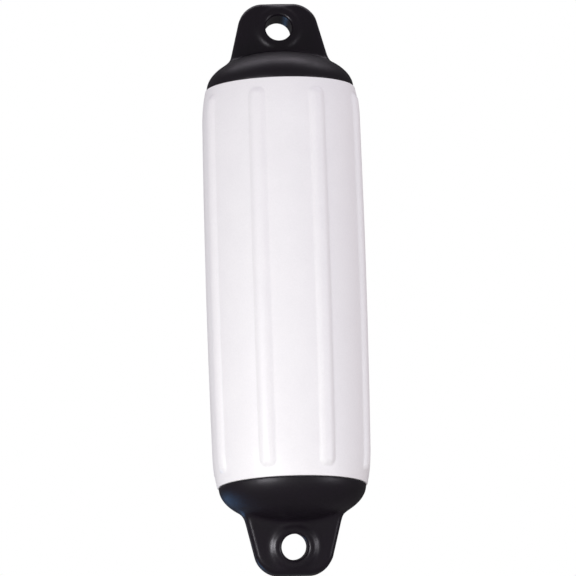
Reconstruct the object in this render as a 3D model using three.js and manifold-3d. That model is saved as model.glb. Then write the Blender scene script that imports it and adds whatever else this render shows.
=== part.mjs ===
// An inflatable boat fender: a ribbed white body between two black end caps with rope eyes.
// Millimetres. The fender hangs along Z with its middle at the origin, and its front faces -Y.

import * as THREE from 'three';
import { mergeVertices } from 'three/addons/utils/BufferGeometryUtils.js';
import Module from 'manifold-3d';

const wasm = await Module();
wasm.setup();

// Body
const bodyLength = 396;       // between the seats of the two caps
const bodyRadius = 79;        // halfway along, between the ribs
const bodyCrown = 1.9;        // how far the barrel falls in from the middle to each end
const shoulderLength = 32;    // the stretch at each end that rounds in further
const shoulderDrop = 3.4;
const lipRound = 1;           // outer edge of the body's end
const bodyWall = 3.4;
const socketDepth = 24;       // straight bore that takes a cap's spigot
const socketRamp = 8;         // where that bore opens out to the thinner wall

// Ribs
const ribCount = 8;
const ribWidth = 17.2;
const ribHeight = 3.1;
const ribFlank = 3.6;         // width of each soft side
const ribCorner = 7;          // rounding of the rib's ends, seen from outside
const ribEndGap = 9.5;        // plain band between a rib's end and the end of the body
const ribSink = 0.5;          // a rib's edge starts this far below the body's surface

// End caps
const seatGap = 0.3;          // between a cap and the end of the body, and round its spigot
const lipStep = 1.2;          // how far the body's lip stands proud of the cap
const domeHeight = 36;
const capWall = 4;
const spigotDepth = 18;
const spigotLead = 1.5;       // chamfer that lets the spigot enter the body

// Rope eyes
const eyeHeight = 59;         // from the cap's seat to the middle of the rope hole
const eyeTip = 27.6;          // from the middle of the hole to the end of the plate
const eyeHole = 26;           // diameter
const eyeWidth = 81.6;        // across the plate, level with the hole
const eyeTaper = 14;          // degrees that each side leans in towards the tip
const eyeThickness = 22;
const eyeCorner = 18;         // rounding of the tip's two corners, seen from the front
const eyeEdge = 5;            // rounding of the plate's edges
const eyeFillet = 9;          // hollow curve where the plate rises from the dome
const eyeFilletBite = 1.2;    // how far that curve starts inside the dome
const eyeLean = 9.5;          // degrees that the soft eye leans back
const bendStart = 22;         // height over the seat where the lean begins
const bendEnd = 36;           // and where the plate is straight again
const plateRoot = 9;          // the plate starts this far over the seat, inside the dome

// Bead round each rope hole
const beadHeight = 2;         // over the plate's face
const beadRound = 3.2;        // rounded mouth that a rope runs over
const beadLand = 2;           // flat ring on top
const beadFlank = 6;          // slope from the flat ring down to the plate
const beadSink = 0.5;         // the slope ends this far under the plate's face

// Inflation valve
const valveFromRim = 26;      // from the middle of the valve to the cap's rim, on the back
const valveStem = 9;          // diameter
const valveFlange = 16;       // diameter
const valveFlangeThickness = 1.8;
const valveNeedleHole = 1.8;  // diameter
const valveBossWall = 3.5;
const valveBossDepth = 7;     // how far the boss reaches in under the dome
const valveBarb = 1.4;        // how far the plug's foot spreads under the boss
const valveBarbHeight = 3;
const valveGap = 0.3;         // round the plug and under its flange

// Fineness
const roundSegments = 56;
const airSegments = 40;
const eyeSegments = 32;
const smallSegments = 24;

const bodyEnd = bodyLength / 2;
const degrees = Math.PI / 180;
const endRadius = bodyRadius - bodyCrown - shoulderDrop;
const capRadius = endRadius - lipStep;
const socketRadius = endRadius - bodyWall;
const spigotRadius = socketRadius - seatGap;
const holeRadius = eyeHole / 2;
const valveOffset = capRadius - valveFromRim;

// Turns a closed geometry into a solid, with its shared vertices merged and its faces outward.
function solidFrom(geometry) {
  const bare = geometry.clone();
  bare.deleteAttribute('normal');
  bare.deleteAttribute('uv');
  const merged = mergeVertices(bare, 1e-4);
  const corners = merged.index.array;
  const kept = [];
  for (let i = 0; i < corners.length; i += 3) {
    const [a, b, c] = [corners[i], corners[i + 1], corners[i + 2]];
    if (a !== b && b !== c && c !== a) kept.push(a, b, c);
  }
  if (signedVolume(merged.attributes.position, kept) < 0) kept.reverse();
  return new wasm.Manifold(new wasm.Mesh({
    numProp: 3,
    vertProperties: new Float32Array(merged.attributes.position.array),
    triVerts: new Uint32Array(kept),
  }));
}

function signedVolume(position, corners) {
  const [a, b, c] = [new THREE.Vector3(), new THREE.Vector3(), new THREE.Vector3()];
  let volume = 0;
  for (let i = 0; i < corners.length; i += 3) {
    a.fromBufferAttribute(position, corners[i]);
    b.fromBufferAttribute(position, corners[i + 1]);
    c.fromBufferAttribute(position, corners[i + 2]);
    volume += a.dot(b.cross(c)) / 6;
  }
  return volume;
}

function geometryFrom(solid) {
  const { vertProperties, triVerts } = solid.getMesh();
  const geometry = new THREE.BufferGeometry();
  geometry.setAttribute('position', new THREE.BufferAttribute(vertProperties, 3));
  geometry.setIndex(new THREE.BufferAttribute(triVerts, 1));
  const faceted = geometry.toNonIndexed();
  faceted.computeVertexNormals();
  return faceted;
}

// Revolves a profile of [radius, height] points round Z.
function revolve(profile, segments) {
  const points = profile.map(([radius, height]) => new THREE.Vector2(radius, height));
  return new THREE.LatheGeometry(points, segments).rotateX(90 * degrees);
}

// Points on an arc of an ellipse, from one angle to another, as [radius, height].
function arc(centre, reach, fromAngle, toAngle, steps) {
  return Array.from({ length: steps + 1 }, (_, i) => {
    const angle = (fromAngle + (toAngle - fromAngle) * i / steps) * degrees;
    return [centre[0] + reach[0] * Math.cos(angle), centre[1] + reach[1] * Math.sin(angle)];
  });
}

// Moves every vertex of a geometry by a function of its place.
function reshape(geometry, place) {
  const position = geometry.attributes.position;
  for (let i = 0; i < position.count; i++) {
    position.setXYZ(i, ...place(position.getX(i), position.getY(i), position.getZ(i)));
  }
  return geometry;
}

// Radius of the body's outside at a height, between the ribs.
function bodyRadiusAt(height) {
  const along = Math.abs(height) / bodyEnd;
  const intoShoulder = Math.max(0, (Math.abs(height) - bodyEnd + shoulderLength) / shoulderLength);
  return bodyRadius - bodyCrown * along ** 2 - shoulderDrop * intoShoulder ** 2;
}

// Heights of the rows along half the body: even along the barrel, closer on the shoulder.
function bodyRows() {
  const barrel = bodyEnd - shoulderLength;
  const onBarrel = [0, 0.5, 1].map((share) => barrel * share);
  const onShoulder = [0.4, 0.7].map((share) => barrel + shoulderLength * share);
  return [...onBarrel, ...onShoulder];
}

function bodyTube() {
  const lip = arc([endRadius - lipRound, bodyEnd - lipRound], [lipRound, lipRound], 0, 90, 1);
  const rampEnd = bodyEnd - socketDepth - socketRamp;
  const upper = [
    ...bodyRows().map((height) => [bodyRadiusAt(height), height]),
    ...lip,
    [socketRadius, bodyEnd],
    [socketRadius, bodyEnd - socketDepth],
    [bodyRadiusAt(rampEnd) - bodyWall, rampEnd],
    [bodyRadius - bodyWall, 0],
  ];
  const lower = upper.slice(1, -1).reverse().map(([radius, height]) => [radius, -height]);
  return revolve([...upper, ...lower, upper[0]], roundSegments);
}

// One rib, lofted along +X: a band with soft sides and rounded ends that follows the barrel.
function rib() {
  const halfLength = bodyEnd - ribEndGap;
  const halfWidth = ribWidth / 2;
  const flankRows = [0, 0.3, 0.65, 1].map((share) => share * ribFlank);
  const across = [...flankRows.map((inset) => inset / halfWidth - 1), 0];
  const along = [...flankRows, ribCorner].map((inset) => inset / halfLength - 1);
  const mirrored = (half) => [...half, ...half.filter((share) => share < 0).map((s) => -s).reverse()];
  const columns = mirrored(across);
  const rows = mirrored([...along, -0.75, -0.4, 0]);
  const box = new THREE.BoxGeometry(1, 1, 1, columns.length - 1, 1, rows.length - 1);
  return reshape(box, (u, v, w) => {
    const height = rows[Math.round((w + 0.5) * (rows.length - 1))] * halfLength;
    const fromEnd = halfLength - Math.abs(height);
    const cornerInset = ribCorner - Math.sqrt(ribCorner ** 2 - Math.max(0, ribCorner - fromEnd) ** 2);
    const side = columns[Math.round((u + 0.5) * (columns.length - 1))] * (halfWidth - cornerInset);
    const surface = bodyRadiusAt(height);
    const radius = v > 0 ? surface + ribRise(side, height) : surface - bodyWall / 2;
    const angle = side / bodyRadius;
    return [radius * Math.cos(angle), radius * Math.sin(angle), height];
  });
}

// Height of a rib over the body at a place, from how far inside its rounded outline that lies.
function ribRise(side, height) {
  const beyondWidth = Math.abs(side) - (ribWidth / 2 - ribCorner);
  const beyondLength = Math.abs(height) - (bodyEnd - ribEndGap - ribCorner);
  const outside = Math.hypot(Math.max(beyondWidth, 0), Math.max(beyondLength, 0));
  const inset = ribCorner - outside - Math.min(Math.max(beyondWidth, beyondLength), 0);
  const rise = THREE.MathUtils.smoothstep(inset, 0, ribFlank);
  return (ribHeight + ribSink) * rise - ribSink;
}

function ribbedBody() {
  let body = solidFrom(bodyTube());
  for (let i = 0; i < ribCount; i++) {
    body = body.add(solidFrom(rib().rotateZ((i + 0.5) * 360 / ribCount * degrees)));
  }
  return body;
}

// How far the eye's middle plane lies behind the axis at a height over the cap's seat.
function leanAt(height) {
  const slope = Math.tan(eyeLean * degrees);
  const along = THREE.MathUtils.clamp(height - bendStart, 0, bendEnd - bendStart);
  const inBend = slope * along ** 2 / (2 * (bendEnd - bendStart));
  return inBend + slope * Math.max(0, height - bendEnd);
}

// Height of the dome's outside over its seat.
function domeHeightAt(x, y) {
  const share = Math.min(1, Math.hypot(x, y) / capRadius);
  return domeHeight * Math.sqrt(1 - share ** 2);
}

// Half the plate's width at a height, with the tip's corners rounded.
function eyeHalfWidthAt(height) {
  const taper = eyeTaper * degrees;
  const tip = eyeHeight + eyeTip;
  const straight = (at) => eyeWidth / 2 - (at - eyeHeight) * Math.tan(taper);
  const centreHeight = tip - eyeCorner;
  const tangentHeight = centreHeight + eyeCorner * Math.sin(taper);
  if (height <= tangentHeight) return straight(height);
  const centre = straight(tangentHeight) - eyeCorner * Math.cos(taper);
  return centre + Math.sqrt(Math.max(0, eyeCorner ** 2 - (height - centreHeight) ** 2));
}

// How much a rounded edge has fallen away at a distance from it.
function edgeFall(distance, radius) {
  return radius - Math.sqrt(radius ** 2 - Math.max(0, radius - Math.max(0, distance)) ** 2);
}

// The plate of a rope eye, lofted upwards: tapered, with rounded edges and a hollow-curved root.
function eyePlate() {
  const tip = eyeHeight + eyeTip;
  const bank = [0, 0.12, 0.4, 1].map((share) => share * eyeEdge);
  const root = [0, 0.35, 0.7, 1].map((share) => domeHeight - 2 + share * eyeFillet);
  const rows = [plateRoot, (plateRoot + domeHeight) / 2, domeHeight - 5, ...root];
  const cornerStart = tip - eyeCorner;
  for (let height = root.at(-1) + 6; height < cornerStart - 3; height += 6) rows.push(height);
  for (const share of [0, 0.33, 0.6, 0.8, 0.92, 0.98, 1]) rows.push(cornerStart + eyeCorner * share);
  const flatShares = [0.75, 0.5, 0.25, 0];
  const columnCount = 2 * (bank.length + flatShares.length - 1);
  const box = new THREE.BoxGeometry(1, 1, 1, columnCount, 1, rows.length - 1);
  return reshape(box, (u, v, w) => {
    const height = rows[Math.round((w + 0.5) * (rows.length - 1))];
    const column = Math.round((u + 0.5) * columnCount);
    const halfWidth = eyeHalfWidthAt(height);
    const fromEdge = Math.min(column, columnCount - column);
    const flat = halfWidth - eyeEdge;
    const x = fromEdge < bank.length
      ? halfWidth - bank[fromEdge]
      : flat * flatShares[fromEdge - bank.length];
    const sideX = column < columnCount / 2 ? -x : x;
    const face = eyeThickness / 2;
    const overDome = height - domeHeightAt(sideX, face) + eyeFilletBite;
    const flare = overDome > 0 ? edgeFall(overDome, eyeFillet) : eyeFillet;
    const fall = edgeFall(Math.min(halfWidth - x, tip - height), eyeEdge);
    const y = Math.sign(v) * (face + flare * Math.min(1, (halfWidth - x) / eyeEdge) - fall);
    return [sideX, y + leanAt(height), height];
  });
}

// The ring round a rope hole: a rounded mouth, a flat land and a slope down to the plate.
function eyeBead() {
  const top = eyeThickness / 2 + beadHeight;
  const landStart = holeRadius + beadRound;
  const landEnd = landStart + beadLand;
  const mouth = arc([landStart, top - beadRound], [beadRound, beadRound], 180, 90, 3);
  const half = [
    ...mouth,
    [landEnd, top],
    [landEnd + beadFlank * 0.35, top - beadHeight * 0.2],
    [landEnd + beadFlank * 0.7, top - beadHeight * 0.8],
    [landEnd + beadFlank, top - beadHeight - beadSink],
  ];
  const other = half.slice().reverse().map(([radius, height]) => [radius, -height]);
  return atEye(new THREE.LatheGeometry(
    [...half, ...other, half[0]].map(([radius, height]) => new THREE.Vector2(radius, height)),
    eyeSegments,
  ));
}

// Puts a geometry that was made round Y where the rope hole is, leaning as the eye does.
function atEye(geometry) {
  return geometry.rotateX(-eyeLean * degrees).translate(0, leanAt(eyeHeight), eyeHeight);
}

// The outside of a cap: spigot, seat and dome.
function capOutside() {
  return revolve([
    [0, -spigotDepth],
    [spigotRadius - spigotLead, -spigotDepth],
    [spigotRadius, spigotLead - spigotDepth],
    [spigotRadius, 0],
    ...arc([0, 0], [capRadius, domeHeight], 0, 90, 9),
  ], roundSegments);
}

// The air space inside a cap.
function capInside() {
  const radius = spigotRadius - capWall;
  return revolve([
    [0, -spigotDepth - 1],
    [radius, -spigotDepth - 1],
    ...arc([0, 0], [radius, domeHeight - capWall], 0, 90, 5),
  ], airSegments);
}

function endCap(holdsValve) {
  const holeCutter = atEye(new THREE.CylinderGeometry(
    holeRadius + beadRound, holeRadius + beadRound, eyeThickness * 2, eyeSegments,
  ));
  const plate = solidFrom(eyePlate()).subtract(solidFrom(holeCutter)).add(solidFrom(eyeBead()));
  let cap = solidFrom(capOutside()).add(plate).subtract(solidFrom(capInside()));
  if (holdsValve) {
    cap = cap.add(solidFrom(valveBoss())).subtract(solidFrom(valveBore()));
  }
  return cap;
}

// The valve stands square on the back of the dome. It is drawn upright, with its top at zero.
function atValve(geometry) {
  const height = domeHeightAt(0, valveOffset);
  const slope = Math.atan(valveOffset * domeHeight ** 2 / (height * capRadius ** 2));
  return geometry.rotateX(-slope).translate(0, valveOffset, height);
}

function valveBoss() {
  const radius = valveStem / 2 + valveGap + valveBossWall;
  const top = -valveFlangeThickness;
  const bottom = -capWall - valveBossDepth;
  return atValve(revolve([[0, bottom], [radius, bottom], [radius, top], [0, top]], smallSegments));
}

function valveBore() {
  const bore = valveStem / 2 + valveGap;
  const counterbore = valveFlange / 2 + valveGap;
  const seat = -valveFlangeThickness - valveGap;
  return atValve(revolve([
    [0, -capWall - valveBossDepth - 1],
    [bore, -capWall - valveBossDepth - 1],
    [bore, seat],
    [counterbore, seat],
    [counterbore, valveFlange],
    [0, valveFlange],
  ], smallSegments));
}

// The rubber plug: a flange that lies flush, a stem, and a foot that holds under the boss.
function inflationValve() {
  const needle = valveNeedleHole / 2;
  const stem = valveStem / 2;
  const flange = valveFlange / 2;
  const underFlange = -valveFlangeThickness;
  const underBoss = -capWall - valveBossDepth - valveGap;
  return solidFrom(atValve(revolve([
    [needle, underBoss - valveBarbHeight],
    [stem * 0.8, underBoss - valveBarbHeight],
    [stem + valveBarb, underBoss],
    [stem, underBoss],
    [stem, underFlange],
    [flange, underFlange],
    [flange, underFlange / 3],
    [flange + underFlange / 3, 0],
    [stem * 0.6, 0],
    [needle, -valveFlangeThickness],
    [needle, underBoss - valveBarbHeight],
  ], smallSegments)));
}

function piece(name, solid, material) {
  const mesh = new THREE.Mesh(geometryFrom(solid), material);
  mesh.name = name;
  return mesh;
}

const whiteVinyl = () => new THREE.MeshStandardMaterial({ color: '#efecf1', roughness: 0.45, metalness: 0 });
const blackVinyl = () => new THREE.MeshStandardMaterial({ color: '#1f1b22', roughness: 0.35, metalness: 0 });
const blackRubber = () => new THREE.MeshStandardMaterial({ color: '#161517', roughness: 0.7, metalness: 0 });

const capSeat = bodyEnd + seatGap;

const topEnd = new THREE.Group();
topEnd.position.z = capSeat;
topEnd.add(piece('top_end_cap', endCap(true), blackVinyl()));
topEnd.add(piece('inflation_valve', inflationValve(), blackRubber()));

const bottomEnd = new THREE.Group();
bottomEnd.position.z = -capSeat;
bottomEnd.rotation.y = Math.PI;
bottomEnd.add(piece('bottom_end_cap', endCap(false), blackVinyl()));

const fender = new THREE.Group();
fender.add(piece('ribbed_body', ribbedBody(), whiteVinyl()), topEnd, bottomEnd);

export default fender;
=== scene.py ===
import math

import bmesh
import bpy
from mathutils import Matrix, Vector


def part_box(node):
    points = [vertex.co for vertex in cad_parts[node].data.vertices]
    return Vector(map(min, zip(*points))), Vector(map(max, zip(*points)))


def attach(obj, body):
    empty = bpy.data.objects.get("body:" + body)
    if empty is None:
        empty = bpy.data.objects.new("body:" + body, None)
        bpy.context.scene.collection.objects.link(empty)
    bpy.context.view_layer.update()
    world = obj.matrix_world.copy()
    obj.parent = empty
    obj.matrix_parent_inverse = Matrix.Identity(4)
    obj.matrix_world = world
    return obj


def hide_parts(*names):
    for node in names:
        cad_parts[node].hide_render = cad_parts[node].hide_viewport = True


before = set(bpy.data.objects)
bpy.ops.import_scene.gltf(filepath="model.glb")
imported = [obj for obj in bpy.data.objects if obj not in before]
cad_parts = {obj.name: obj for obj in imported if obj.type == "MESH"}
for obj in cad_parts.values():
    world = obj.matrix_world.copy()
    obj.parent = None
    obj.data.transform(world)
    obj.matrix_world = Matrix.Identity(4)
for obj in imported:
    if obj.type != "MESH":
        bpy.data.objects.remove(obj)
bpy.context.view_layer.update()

# An inflatable boat fender: ribbed white vinyl body, black vinyl end caps with rope eyes.
# Metres, in the frame of the solids: +Z along the fender, -Y out of its front.

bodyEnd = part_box("ribbed_body")[1].z
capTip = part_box("top_end_cap")[1].z
print("frame loaded")


# Small tools for node trees

class NodeValue:
    # A number in a node tree. Arithmetic on it adds Math nodes.

    def __init__(self, tree, socket):
        self.tree = tree
        self.socket = socket

    def do(self, operation, *others):
        node = self.tree.nodes.new("ShaderNodeMath")
        node.operation = operation
        for place, value in zip(node.inputs, (self, *others)):
            if isinstance(value, NodeValue):
                self.tree.links.new(value.socket, place)
            else:
                place.default_value = value
        return NodeValue(self.tree, node.outputs[0])

    def __add__(self, other):
        return self.do("ADD", other)

    def __sub__(self, other):
        return self.do("SUBTRACT", other)

    def __mul__(self, other):
        return self.do("MULTIPLY", other)

    def __truediv__(self, other):
        return self.do("DIVIDE", other)

    def __neg__(self):
        return self.do("MULTIPLY", -1.0)

    def __abs__(self):
        return self.do("ABSOLUTE")

    def atLeast(self, other):
        return self.do("MAXIMUM", other)

    def atMost(self, other):
        return self.do("MINIMUM", other)

    def sine(self):
        return self.do("SINE")

    def cosine(self):
        return self.do("COSINE")

    def tangent(self):
        return self.do("TANGENT")


def lengthOf(a, b):
    return (a * a + b * b).do("SQRT")


# Where both distances are negative. The edge between them is rounded.
def roundedBoth(a, b, radius):
    outA, outB = a + radius, b + radius
    return outA.atLeast(outB).atMost(0.0) + lengthOf(outA.atLeast(0.0), outB.atLeast(0.0)) - radius


# A new node tree with one number socket for each named size, after its start mesh if it takes one.
def newTree(name, sizes, startMesh=None):
    tree = bpy.data.node_groups.new(name, "GeometryNodeTree")
    if startMesh:
        tree.interface.new_socket(startMesh, in_out="INPUT", socket_type="NodeSocketGeometry")
    for label, value in sizes.items():
        kind = "NodeSocketInt" if isinstance(value, int) else "NodeSocketFloat"
        tree.interface.new_socket(label, in_out="INPUT", socket_type=kind).default_value = value
    return tree


def addNode(tree, kind, **settings):
    node = tree.nodes.new(kind)
    for key, value in settings.items():
        setattr(node, key, value)
    return node


# The tree's sizes as numbers for arithmetic, by name.
def sizeValues(tree, sizes):
    given = addNode(tree, "NodeGroupInput")
    return {label: NodeValue(tree, given.outputs[label]) for label in sizes}


# x, y and z of a vector socket.
def splitVector(tree, socket):
    node = addNode(tree, "ShaderNodeSeparateXYZ")
    tree.links.new(socket, node.inputs[0])
    return [NodeValue(tree, output) for output in node.outputs]


def joinVector(tree, x, y, z):
    node = addNode(tree, "ShaderNodeCombineXYZ")
    for place, value in zip(node.inputs, (x, y, z)):
        tree.links.new(value.socket, place)
    return node.outputs[0]


# Ends a tree: real faces, smooth shading and the piece's material.
def finishTree(tree, geometry, material):
    tree.interface.new_socket("Geometry", in_out="OUTPUT", socket_type="NodeSocketGeometry")
    smooth = addNode(tree, "GeometryNodeSetShadeSmooth")
    real = addNode(tree, "GeometryNodeRealizeInstances")
    paint = addNode(tree, "GeometryNodeSetMaterial")
    paint.inputs["Material"].default_value = material
    result = addNode(tree, "NodeGroupOutput")
    tree.links.new(geometry, smooth.inputs["Geometry"])
    tree.links.new(smooth.outputs["Geometry"], real.inputs["Geometry"])
    tree.links.new(real.outputs["Geometry"], paint.inputs["Geometry"])
    tree.links.new(paint.outputs["Geometry"], result.inputs[0])


# Runs a tree on a start mesh, and keeps the result as a plain mesh.
def growPiece(name, startMesh, tree, sizes):
    piece = bpy.data.objects.new(name, startMesh)
    bpy.context.scene.collection.objects.link(piece)
    modifier = piece.modifiers.new("shape", "NODES")
    modifier.node_group = tree
    for item in tree.interface.items_tree:
        if item.item_type == "SOCKET" and item.in_out == "INPUT" and item.name in sizes:
            modifier[item.identifier] = sizes[item.name]
    evaluated = piece.evaluated_get(bpy.context.evaluated_depsgraph_get())
    mesh = bpy.data.meshes.new_from_object(evaluated)
    piece.modifiers.clear()
    piece.data = mesh
    mesh.name = name
    return piece


# Materials

# A noise of blobs about this many metres across, centred on a half.
def addNoise(tree, coordinates, blob, detail=2.0):
    noise = addNode(tree, "ShaderNodeTexNoise")
    noise.inputs["Scale"].default_value = 1.0 / blob
    noise.inputs["Detail"].default_value = detail
    tree.links.new(coordinates, noise.inputs["Vector"])
    return noise.outputs["Fac"]


# Spreads a noise, which seldom leaves 0.3 to 0.7, between two numbers.
def spread(tree, factor, low, high):
    node = addNode(tree, "ShaderNodeMapRange")
    node.inputs["From Min"].default_value = 0.3
    node.inputs["From Max"].default_value = 0.7
    node.inputs["To Min"].default_value = low
    node.inputs["To Max"].default_value = high
    tree.links.new(factor, node.inputs["Value"])
    return node.outputs["Result"]


def blendColours(tree, factor, first, second):
    node = addNode(tree, "ShaderNodeMix", data_type="RGBA")
    node.inputs[6].default_value = (*first, 1.0)
    node.inputs[7].default_value = (*second, 1.0)
    tree.links.new(factor, node.inputs[0])
    return node.outputs[2]


# A moulded plastic or rubber: cloudy colour, uneven gloss, and a skin of coarse and fine grain.
def mouldedMaterial(name, look):
    material = bpy.data.materials.new(name)
    material.use_nodes = True
    tree = material.node_tree
    shader = tree.nodes["Principled BSDF"]
    coordinates = addNode(tree, "ShaderNodeTexCoord").outputs["Object"]

    clouds = addNoise(tree, coordinates, look["cloudSize"], 4.0)
    fleck = addNoise(tree, coordinates, look["fleckSize"], 3.0)
    base = blendColours(tree, spread(tree, clouds, 0.0, 1.0), look["colour"], look["cloudColour"])
    speckle = blendColours(tree, spread(tree, fleck, 0.0, look["fleckAmount"]), (1, 1, 1), (0, 0, 0))
    mixed = addNode(tree, "ShaderNodeMix", data_type="RGBA", blend_type="MULTIPLY")
    mixed.inputs[0].default_value = 1.0
    tree.links.new(base, mixed.inputs[6])
    tree.links.new(speckle, mixed.inputs[7])
    tree.links.new(mixed.outputs[2], shader.inputs["Base Color"])
    roughness = NodeValue(tree, spread(tree, clouds, *look["roughness"]))
    if "rubbed" in look:
        start, end, smoother = look["rubbed"]
        _, _, height = splitVector(tree, coordinates)
        handled = ((abs(height) - start) / (end - start)).atLeast(0.0).atMost(1.0)
        roughness = roughness - handled * smoother
    tree.links.new(roughness.socket, shader.inputs["Roughness"])

    normal = None
    for blob, depth in look["grain"]:
        bump = addNode(tree, "ShaderNodeBump")
        bump.inputs["Strength"].default_value = 1.0
        bump.inputs["Distance"].default_value = depth
        tree.links.new(addNoise(tree, coordinates, blob), bump.inputs["Height"])
        if normal:
            tree.links.new(normal, bump.inputs["Normal"])
        normal = bump.outputs["Normal"]
    tree.links.new(normal, shader.inputs["Normal"])
    shader.inputs["IOR"].default_value = look["ior"]
    return material


whiteVinyl = mouldedMaterial("white_vinyl", {
    "colour": (0.885, 0.872, 0.885),
    "cloudColour": (0.86, 0.847, 0.862),
    "cloudSize": 0.03,
    "fleckSize": 0.0016,
    "fleckAmount": 0.03,
    "roughness": (0.34, 0.46),
    "grain": [(0.012, 0.0002), (0.0016, 0.00005)],
    "ior": 1.5,
})

blackVinyl = mouldedMaterial("black_vinyl", {
    "colour": (0.0118, 0.0082, 0.0135),
    "cloudColour": (0.0095, 0.0068, 0.011),
    "cloudSize": 0.02,
    "fleckSize": 0.001,
    "fleckAmount": 0.25,
    "roughness": (0.4, 0.5),
    "rubbed": (0.215, 0.24, 0.12),   # eyes polished by the line: from, to, and how much smoother
    "grain": [(0.009, 0.00015), (0.0012, 0.00004)],
    "ior": 1.5,
})

valveRubber = mouldedMaterial("valve_rubber", {
    "colour": (0.016, 0.0155, 0.0155),
    "cloudColour": (0.011, 0.0105, 0.011),
    "cloudSize": 0.004,
    "fleckSize": 0.0005,
    "fleckAmount": 0.3,
    "roughness": (0.62, 0.75),
    "grain": [(0.002, 0.00006), (0.0004, 0.00002)],
    "ior": 1.52,
})
print("materials made")


# Ribbed body

bodySizes = {
    "radius": 0.079,             # halfway along, between the ribs
    "crown": 0.0019,
    "shoulderLength": 0.032,
    "shoulderDrop": 0.0034,
    "lipRound": 0.001,
    "wall": 0.0034,
    "socketDepth": 0.024,
    "socketRamp": 0.008,
    "ribEndGap": 0.0095,         # from a rib's tip to the body's end
    "fineStep": 0.0011,          # row spacing where the ribs end
    "wideStep": 0.009,           # row spacing along the barrel
    "innerStep": 0.03,           # row spacing inside
    "weld": 0.00001,             # joins the first column of points to the last
}

ribSizes = {
    "Segments": 480,
    "Rib Count": 8,
    "Rib Width": 0.0172,
    "Rib Height": 0.0031,
    "Rib Flank": 0.0072,         # width of each soft side
    "Rib Corner": 0.007,
    "Rib Half Length": bodyEnd - bodySizes["ribEndGap"],
    "Body Radius": bodySizes["radius"],
    "Inner Radius": bodySizes["radius"] - bodySizes["wall"],
    "Waver": 0.00025,            # slow unevenness of the blown skin
    "Waver Size": 0.07,
    "Waver Depth": 0.0015,       # how far inside the inner radius the skin still wavers
}


def bodyRadiusAt(height):
    intoShoulder = (abs(height) - bodyEnd + bodySizes["shoulderLength"]) / bodySizes["shoulderLength"]
    crowned = bodySizes["radius"] - bodySizes["crown"] * (height / bodyEnd) ** 2
    return crowned - bodySizes["shoulderDrop"] * max(0.0, intoShoulder) ** 2


def evenSteps(start, end, step):
    count = max(1, math.ceil(abs(end - start) / step))
    return [start + (end - start) * i / count for i in range(count)]


# Section of the tube as (radius, height), once round from the middle of the outside.
def bodySection():
    lipRound = bodySizes["lipRound"]
    fineStart = bodyEnd - bodySizes["shoulderLength"]
    lipStart = bodyEnd - lipRound
    outside = evenSteps(0.0, fineStart, bodySizes["wideStep"])
    outside += evenSteps(fineStart, lipStart, bodySizes["fineStep"])
    section = [(bodyRadiusAt(height), height) for height in outside]
    endRadius = bodyRadiusAt(bodyEnd)
    lipSteps = 6
    for i in range(lipSteps + 1):
        angle = math.pi / 2 * i / lipSteps
        radius = bodyRadiusAt(lipStart) - lipRound + lipRound * math.cos(angle)
        section.append((radius, lipStart + lipRound * math.sin(angle)))
    socket = endRadius - bodySizes["wall"]
    socketEnd = bodyEnd - bodySizes["socketDepth"]
    rampEnd = socketEnd - bodySizes["socketRamp"]
    section += [(socket, bodyEnd), (socket, socketEnd)]
    for height in evenSteps(rampEnd, 0.0, bodySizes["innerStep"]) + [0.0]:
        section.append((bodyRadiusAt(height) - bodySizes["wall"], height))
    mirrored = [(radius, -height) for radius, height in reversed(section[1:-1])]
    return section + mirrored + [section[0]]


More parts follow.
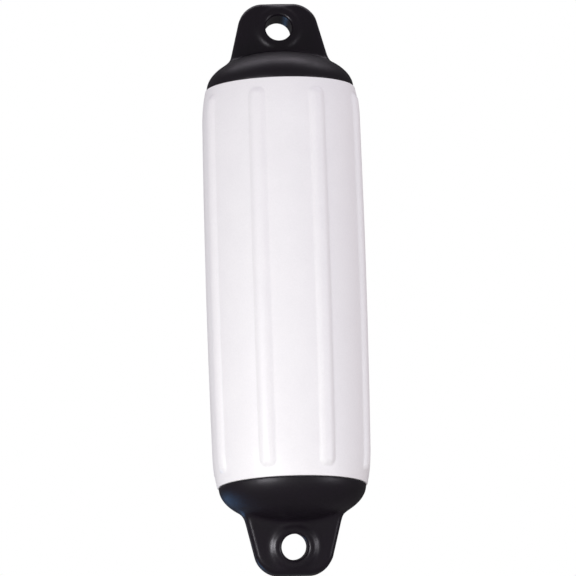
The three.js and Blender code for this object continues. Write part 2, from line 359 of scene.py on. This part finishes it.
# The tree revolves the section, and presses the ribs out of it.
def bodyTree(material):
    tree = newTree("ribbedTube", ribSizes, "Section")
    size = sizeValues(tree, ribSizes)
    links = tree.links
    section = addNode(tree, "NodeGroupInput").outputs["Section"]
    count = addNode(tree, "GeometryNodeAttributeDomainSize")
    links.new(section, count.inputs["Geometry"])
    rows = NodeValue(tree, count.outputs["Point Count"])

    grid = addNode(tree, "GeometryNodeMeshGrid")
    links.new(size["Segments"].socket, grid.inputs["Size X"])
    links.new((rows - 1.0).socket, grid.inputs["Size Y"])
    links.new((size["Segments"] + 1.0).socket, grid.inputs["Vertices X"])
    links.new(rows.socket, grid.inputs["Vertices Y"])
    column, row, _ = splitVector(tree, addNode(tree, "GeometryNodeInputPosition").outputs[0])
    column = column + size["Segments"] * 0.5
    row = (row + (rows - 1.0) * 0.5).do("ROUND")

    sample = addNode(tree, "GeometryNodeSampleIndex", data_type="FLOAT_VECTOR", domain="POINT")
    links.new(section, sample.inputs["Geometry"])
    links.new(addNode(tree, "GeometryNodeInputPosition").outputs[0], sample.inputs["Value"])
    links.new(row.socket, sample.inputs["Index"])
    radius, _, height = splitVector(tree, sample.outputs["Value"])

    angle = column / size["Segments"] * math.tau
    halfPitch = size["Rib Count"].do("POWER", -1.0) * math.pi
    side = (angle - halfPitch).do("WRAP", halfPitch, -halfPitch) * size["Body Radius"]
    corner = size["Rib Corner"]
    pastWidth = abs(side) - (size["Rib Width"] * 0.5 - corner)
    pastLength = abs(height) - (size["Rib Half Length"] - corner)
    inset = -roundedBoth(pastWidth - corner, pastLength - corner, corner)
    climb = (inset / size["Rib Flank"]).atLeast(0.0).atMost(1.0)
    rise = climb * (-climb + 2.0) * size["Rib Height"]

    noise = addNode(tree, "ShaderNodeTexNoise")
    noise.inputs["Detail"].default_value = 1.0
    links.new(size["Waver Size"].do("POWER", -1.0).socket, noise.inputs["Scale"])
    around = joinVector(tree, angle.cosine() * radius, angle.sine() * radius, height)
    links.new(around, noise.inputs["Vector"])
    waver = (NodeValue(tree, noise.outputs["Fac"]) - 0.5) * size["Waver"]
    wavers = radius.do("GREATER_THAN", size["Inner Radius"] - size["Waver Depth"])
    onSkin = radius.do("GREATER_THAN", size["Inner Radius"])
    full = radius + (rise * onSkin + waver * wavers)

    place = addNode(tree, "GeometryNodeSetPosition")
    links.new(grid.outputs["Mesh"], place.inputs["Geometry"])
    links.new(joinVector(tree, angle.cosine() * full, angle.sine() * full, height),
              place.inputs["Position"])
    weld = addNode(tree, "GeometryNodeMergeByDistance")
    weld.inputs["Distance"].default_value = bodySizes["weld"]
    links.new(place.outputs["Geometry"], weld.inputs["Geometry"])
    finishTree(tree, weld.outputs["Geometry"], material)
    return tree


def makeBody():
    mesh = bpy.data.meshes.new("section")
    mesh.from_pydata([(radius, 0.0, height) for radius, height in bodySection()], [], [])
    body = growPiece("vinyl_body", mesh, bodyTree(whiteVinyl), ribSizes)
    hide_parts("ribbed_body")
    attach(body, "root")
    print("vinyl_body made:", len(body.data.polygons), "faces")


makeBody()


# End caps

capSizes = {
    "Seat Radius": 0.0725,
    "Dome Height": 0.036,
    "Wall": 0.004,
    "Spigot Radius": 0.07,
    "Spigot Depth": 0.018,
    "Eye Height": 0.059,          # from the seat to the middle of the rope hole
    "Eye Reach": 0.0866,          # from the seat to the tip
    "Hole Radius": 0.013,
    "Eye Width": 0.0816,          # level with the hole
    "Eye Taper": math.radians(14),
    "Eye Thickness": 0.022,
    "Eye Corner": 0.018,
    "Eye Edge": 0.005,
    "Root Blend": 0.009,          # soft join of eye and dome
    "Eye Lean": math.radians(9.5),
    "Bend Start": 0.022,
    "Bend End": 0.036,
    "Plate Root": 0.009,
    "Bead Height": 0.002,
    "Bead Radius": 0.0205,
    "Bead Edge": 0.003,
    "Bead Blend": 0.011,
    "Mouth Round": 0.0032,
    "Valve Offset": 0.0465,
    "Voxel": 0.0012,
}

valveSizes = {
    "stem": 0.0045,
    "flange": 0.008,
    "flangeThickness": 0.0018,
    "needleHole": 0.0009,
    "bossWall": 0.0035,
    "bossDepth": 0.007,
    "barb": 0.0014,
    "barbHeight": 0.003,
    "gap": 0.0003,
    "rim": 0.0006,
    "pocketBlend": 0.0008,        # softness of the pocket's edge
    "segments": 96,
}


# Roughly how far a point lies outside a flattened ball.
def ballDistance(x, y, z, radius, height):
    near = ((x * x + y * y) / (radius * radius) + z * z / (height * height)).do("SQRT")
    radius4, height4 = (size * size * size * size for size in (radius, height))
    steep = ((x * x + y * y) / radius4 + z * z / height4).do("SQRT")
    return near * (near - 1.0) / steep.atLeast(0.0001)


# Height of the dome and its slope where the valve sits.
def valveSeat():
    offset, radius, height = capSizes["Valve Offset"], capSizes["Seat Radius"], capSizes["Dome Height"]
    seatHeight = height * math.sqrt(1 - (offset / radius) ** 2)
    return seatHeight, math.atan(offset * height ** 2 / (seatHeight * radius ** 2))


# How far a point lies outside the valve's boss and pocket, as two numbers.
def valveDistances(x, y, z):
    seatHeight, slope = valveSeat()
    fromY = y - capSizes["Valve Offset"]
    fromZ = z - seatHeight
    along = fromY * math.sin(slope) + fromZ * math.cos(slope)
    away = lengthOf(x, fromY * math.cos(slope) - fromZ * math.sin(slope))
    bossRadius = valveSizes["stem"] + valveSizes["gap"] + valveSizes["bossWall"]
    bossEnd = capSizes["Wall"] + valveSizes["bossDepth"]
    middle = (bossEnd + valveSizes["flangeThickness"]) / 2
    reach = (bossEnd - valveSizes["flangeThickness"]) / 2
    boss = (away - bossRadius).atLeast(abs(along + middle) - reach)
    seat = valveSizes["flangeThickness"] + valveSizes["gap"]
    pocket = (away - (valveSizes["flange"] + valveSizes["gap"])).atLeast(-along - seat)
    bore = (away - (valveSizes["stem"] + valveSizes["gap"])).atLeast(-along - bossEnd * 2)
    return boss, pocket.atMost(bore)


# A group that gives how far a point lies outside the cap. The cap's seat is at z = 0.
def capField(name, holdsValve):
    tree = newTree(name, capSizes)
    tree.interface.new_socket("Point", in_out="INPUT", socket_type="NodeSocketVector")
    tree.interface.new_socket("Distance", in_out="OUTPUT", socket_type="NodeSocketFloat")
    size = sizeValues(tree, capSizes)
    x, y, z = splitVector(tree, addNode(tree, "NodeGroupInput").outputs["Point"])
    overSeat = z.atLeast(0.0)

    dome = ballDistance(x, y, overSeat, size["Seat Radius"], size["Dome Height"])

    slope = size["Eye Lean"].tangent()
    bendLength = size["Bend End"] - size["Bend Start"]
    intoBend = (z - size["Bend Start"]).atLeast(0.0).atMost(bendLength)
    lean = slope * (intoBend * intoBend / (bendLength * 2.0) + (z - size["Bend End"]).atLeast(0.0))
    halfWidth = size["Eye Width"] * 0.5 - (z - size["Eye Height"]) * size["Eye Taper"].tangent()
    side = (abs(x) - halfWidth) * size["Eye Taper"].cosine()
    outline = roundedBoth(side, z - size["Eye Reach"], size["Eye Corner"])
    face = abs(y - lean) - size["Eye Thickness"] * 0.5
    plate = roundedBoth(outline, face, size["Eye Edge"]).atLeast(size["Plate Root"] - z)

    leanAtHole = slope * (bendLength * 0.5 + size["Eye Height"] - size["Bend End"])
    fromY, fromZ = y - leanAtHole, z - size["Eye Height"]
    leanSine, leanCosine = size["Eye Lean"].sine(), size["Eye Lean"].cosine()
    through = fromY * leanCosine - fromZ * leanSine
    fromHole = lengthOf(x, fromY * leanSine + fromZ * leanCosine)
    beadTop = size["Eye Thickness"] * 0.5 + size["Bead Height"]
    bead = roundedBoth(fromHole - size["Bead Radius"], abs(through) - beadTop, size["Bead Edge"])
    eye = plate.do("SMOOTH_MIN", bead, size["Bead Blend"])
    eye = eye.do("SMOOTH_MIN", dome, size["Root Blend"])
    eye = roundedBoth(eye, size["Hole Radius"] - fromHole, size["Mouth Round"])

    inRadius = size["Spigot Radius"] - size["Wall"]
    air = ballDistance(x, y, overSeat, inRadius, size["Dome Height"] - size["Wall"])
    spigot = (lengthOf(x, y) - size["Spigot Radius"]).atLeast(-(z + size["Spigot Depth"]))
    spigot = spigot.atLeast(z - size["Wall"])
    cap = eye.atLeast(-z).atMost(spigot).atLeast(-air)
    if holdsValve:
        boss, pocket = valveDistances(x, y, z)
        cap = cap.atMost(boss).do("SMOOTH_MAX", -pocket, valveSizes["pocketBlend"])
    result = addNode(tree, "NodeGroupOutput")
    tree.links.new(cap.socket, result.inputs["Distance"])
    return tree


# The tree fills a block with the field, skins it, and settles the skin on the exact surface.
def capTree(name, material, holdsValve):
    tree = newTree(name, capSizes)
    size = sizeValues(tree, capSizes)
    links = tree.links
    field = capField(name + "_field", holdsValve)

    def distanceAt(point):
        node = addNode(tree, "GeometryNodeGroup", node_tree=field)
        for label in capSizes:
            links.new(size[label].socket, node.inputs[label])
        links.new(point, node.inputs["Point"])
        return NodeValue(tree, node.outputs["Distance"])

    margin = 3 * capSizes["Voxel"]
    low = Vector((-capSizes["Seat Radius"], -capSizes["Seat Radius"], -capSizes["Spigot Depth"]))
    high = Vector((capSizes["Seat Radius"], capSizes["Seat Radius"], capSizes["Eye Reach"]))
    low, high = low - Vector((margin,) * 3), high + Vector((margin,) * 3)
    block = addNode(tree, "GeometryNodeVolumeCube")
    block.inputs["Min"].default_value = low
    block.inputs["Max"].default_value = high
    block.inputs["Background"].default_value = 0.0
    for axis, span in zip("XYZ", high - low):
        block.inputs["Resolution " + axis].default_value = round(span / capSizes["Voxel"])
    steepness, threshold = 1000.0, 100.0
    distance = distanceAt(addNode(tree, "GeometryNodeInputPosition").outputs[0])
    links.new((distance * -steepness + threshold).socket, block.inputs["Density"])
    skin = addNode(tree, "GeometryNodeVolumeToMesh")
    skin.inputs["Threshold"].default_value = threshold
    links.new(block.outputs["Volume"], skin.inputs["Volume"])

    geometry = skin.outputs["Mesh"]
    probe = capSizes["Voxel"] / 8
    for _ in range(2):
        here = addNode(tree, "GeometryNodeInputPosition").outputs[0]
        slopes = []
        for axis in range(3):
            ends = []
            for direction in (1, -1):
                shift = addNode(tree, "ShaderNodeVectorMath", operation="ADD")
                shift.inputs[1].default_value[axis] = direction * probe
                links.new(here, shift.inputs[0])
                ends.append(distanceAt(shift.outputs[0]))
            slopes.append((ends[0] - ends[1]) / (2 * probe))
        steep = slopes[0] * slopes[0] + slopes[1] * slopes[1] + slopes[2] * slopes[2]
        reach = capSizes["Voxel"] * 0.7
        step = (-distanceAt(here) / steep.atLeast(0.2)).atLeast(-reach).atMost(reach)
        settle = addNode(tree, "GeometryNodeSetPosition")
        links.new(geometry, settle.inputs["Geometry"])
        links.new(joinVector(tree, *(slope * step for slope in slopes)), settle.inputs["Offset"])
        geometry = settle.outputs["Geometry"]
    finishTree(tree, geometry, material)
    return tree


def makeCap(name, node, seat, turned, holdsValve):
    start = bpy.data.meshes.new(name)
    cap = growPiece(name, start, capTree(name + "_shape", blackVinyl, holdsValve), capSizes)
    if turned:
        cap.data.transform(Matrix.Rotation(math.pi, 4, "Y"))
    cap.data.transform(Matrix.Translation((0, 0, seat)))
    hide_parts(node)
    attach(cap, "root")
    print(name, "made:", len(cap.data.polygons), "faces")


capSeat = capTip - capSizes["Eye Reach"]
makeCap("top_cap_skin", "top_end_cap", capSeat, False, True)
makeCap("bottom_cap_skin", "bottom_end_cap", -capSeat, True, False)


# Inflation valve: a turned rubber plug, flush in the back of the top cap

def valveSection():
    underFlange = -valveSizes["flangeThickness"]
    underBoss = -capSizes["Wall"] - valveSizes["bossDepth"] - valveSizes["gap"]
    needle, stem, flange = valveSizes["needleHole"], valveSizes["stem"], valveSizes["flange"]
    rim = valveSizes["rim"]
    edge = [
        (flange - rim + rim * math.sin(math.pi / 8 * i), -rim + rim * math.cos(math.pi / 8 * i))
        for i in range(5)
    ]
    return [
        (needle, underBoss - valveSizes["barbHeight"]),
        (needle, underFlange),
        (stem * 0.32, -0.0009),
        (stem * 0.5, -0.0003),
        (stem * 0.7, 0.0),
        (stem * 1.1, 0.0),
        (stem * 1.16, -0.00025),
        (stem * 1.26, -0.00025),
        (stem * 1.32, 0.0),
        *edge,
        (flange, underFlange),
        (stem, underFlange),
        (stem, underBoss),
        (stem + valveSizes["barb"], underBoss),
        (stem * 0.8, underBoss - valveSizes["barbHeight"]),
    ]


def makeValve():
    section = valveSection()
    turn = valveSizes["segments"]
    points, faces = [], []
    for i in range(turn):
        angle = math.tau * i / turn
        points += [(r * math.cos(angle), r * math.sin(angle), height) for r, height in section]
    for i in range(turn):
        for j in range(len(section)):
            a, b = i * len(section), (i + 1) % turn * len(section)
            k = (j + 1) % len(section)
            faces.append((a + j, a + k, b + k, b + j))
    mesh = bpy.data.meshes.new("valve_plug")
    mesh.from_pydata(points, [], faces)
    shape = bmesh.new()
    shape.from_mesh(mesh)
    bmesh.ops.recalc_face_normals(shape, faces=shape.faces)
    shape.to_mesh(mesh)
    shape.free()
    mesh.shade_smooth()
    mesh.set_sharp_from_angle(angle=math.radians(40))
    seatHeight, slope = valveSeat()
    stand = Matrix.Translation((0, capSizes["Valve Offset"], capSeat + seatHeight))
    mesh.transform(stand @ Matrix.Rotation(-slope, 4, "X"))
    mesh.materials.append(valveRubber)
    plug = bpy.data.objects.new("valve_plug", mesh)
    bpy.context.scene.collection.objects.link(plug)
    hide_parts("inflation_valve")
    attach(plug, "root")


makeValve()
print("valve made")


# Stage, lamps and camera

stageLook = {
    "floorDrop": 14.0,            # low enough to look up at the fender from every side
    "floorSize": 340.0,
    "floorColour": (0.8, 0.8, 0.8),
    "floorMirrored": (0.12, 0.12, 0.12),    # floor as the gloss sees it
    "floorRoughness": 0.9,
    "fill": 0.75,                 # world light on the object
    "mirrored": 0.1,              # world as the gloss sees it
    "worldTint": (0.98, 0.94, 1.0),
}

cameraLook = {
    "distance": 12.0,
    "turn": math.radians(-5.0),
    "lift": math.radians(-9.5),
    "roll": math.radians(1.8),
    "frameWidth": 0.5672,         # metres across the picture, at the fender
    "aim": (0.0018, -0.0003),     # metres right of and above the fender's middle
    "clip": (0.1, 1000.0),
}

# name: place, aim, width, height, power, colour, whether it lights surfaces, whether gloss shows it
lampLooks = {
    "key": ((-0.42, -0.85, -0.62), (0, 0, -0.22), 1.4, 0.8, 6.9, (0.97, 1.0, 0.94), True, False),
    "side": ((-1.4, 0.65, -0.4), (0, 0, -0.1), 1.0, 1.2, 3.2, (0.97, 0.98, 1.0), True, False),
    "front": ((0.5, -0.9, 0.4), (0, 0, 0.1), 1.2, 0.8, 1.5, (0.97, 0.95, 1.0), True, False),
    "back": ((0.8, 2.9, 0.8), (0, 0, 0), 3.0, 3.0, 24.0, (0.97, 1.0, 0.97), True, False),
    "top": ((0.1, 0.6, 1.9), (0, 0, 0.25), 2.8, 0.5, 10.0, (0.96, 0.9, 1.0), True, True),
    "left": ((-1.2, -1.31, -0.38), (0, 0, -0.25), 0.5, 0.5, 16.0, (0.96, 0.94, 1.0), False, True),
    "right": ((1.45, -1.04, -0.34), (0, 0, -0.25), 0.5, 0.5, 6.0, (0.95, 0.92, 1.0), False, True),
    "warm": ((2.0, 1.0, -0.7), (0, 0, -0.1), 0.4, 1.2, 3.5, (1.0, 0.65, 0.35), True, False),
    "blue": ((-1.25, 2.1, -1.1), (0, 0, -0.2), 0.8, 0.8, 3.6, (0.22, 0.5, 1.0), False, True),
}


def makeStage():
    floorMesh = bpy.data.meshes.new("floor")
    half, drop = stageLook["floorSize"] / 2, -stageLook["floorDrop"]
    corners = [(-half, -half, drop), (half, -half, drop), (half, half, drop), (-half, half, drop)]
    floorMesh.from_pydata(corners, [], [(0, 1, 2, 3)])
    paint = bpy.data.materials.new("floor")
    paint.use_nodes = True
    shader = paint.node_tree.nodes["Principled BSDF"]
    shader.inputs["Roughness"].default_value = stageLook["floorRoughness"]
    path = addNode(paint.node_tree, "ShaderNodeLightPath")
    colour = blendColours(paint.node_tree, path.outputs["Is Glossy Ray"],
                          stageLook["floorColour"], stageLook["floorMirrored"])
    paint.node_tree.links.new(colour, shader.inputs["Base Color"])
    floorMesh.materials.append(paint)
    floor = bpy.data.objects.new("floor", floorMesh)
    bpy.context.scene.collection.objects.link(floor)


def makeWorld():
    world = bpy.data.worlds.new("studio")
    world.use_nodes = True
    bpy.context.scene.world = world
    tree = world.node_tree
    background = tree.nodes["Background"]
    path = addNode(tree, "ShaderNodeLightPath")
    seen = NodeValue(tree, path.outputs["Is Camera Ray"])
    tint = blendColours(tree, seen.socket, stageLook["worldTint"], (1, 1, 1))
    tree.links.new(tint, background.inputs["Color"])
    glossy = NodeValue(tree, path.outputs["Is Glossy Ray"])
    light = glossy * (stageLook["mirrored"] - stageLook["fill"]) + stageLook["fill"]
    light = seen.atLeast(light)
    tree.links.new(light.socket, background.inputs["Strength"])


def makeLamps():
    for name, (place, aim, width, height, power, colour, lights, shows) in lampLooks.items():
        light = bpy.data.lights.new(name, "AREA")
        light.shape = "RECTANGLE"
        light.size, light.size_y = width, height
        light.energy = power
        light.color = colour
        lamp = bpy.data.objects.new(name, light)
        lamp.location = place
        lamp.visible_camera = False
        lamp.visible_diffuse = lights
        lamp.visible_glossy = shows
        lamp.rotation_mode = "QUATERNION"
        lamp.rotation_quaternion = (Vector(aim) - Vector(place)).to_track_quat("-Z", "Y")
        bpy.context.scene.collection.objects.link(lamp)


def makeCamera():
    camera = bpy.data.objects.new("camera", bpy.data.cameras.new("camera"))
    bpy.context.scene.collection.objects.link(camera)
    bpy.context.scene.camera = camera
    turn, lift, roll = cameraLook["turn"], cameraLook["lift"], cameraLook["roll"]
    back = Vector((
        math.sin(turn) * math.cos(lift),
        -math.cos(turn) * math.cos(lift),
        math.sin(lift),
    ))
    level = Vector((0, 0, 1)).cross(back).normalized()
    upright = back.cross(level)
    right = level * math.cos(roll) - upright * math.sin(roll)
    up = upright * math.cos(roll) + level * math.sin(roll)
    aimRight, aimUp = cameraLook["aim"]
    place = right * aimRight + up * aimUp + back * cameraLook["distance"]
    turned = Matrix((right, up, back)).transposed().to_4x4()
    camera.matrix_world = Matrix.Translation(place) @ turned
    lens = camera.data
    lens.lens = lens.sensor_width * cameraLook["distance"] / cameraLook["frameWidth"]
    lens.clip_start, lens.clip_end = cameraLook["clip"]


makeStage()
makeWorld()
makeLamps()
makeCamera()
bpy.context.scene.view_settings.view_transform = "Standard"
print("stage made")
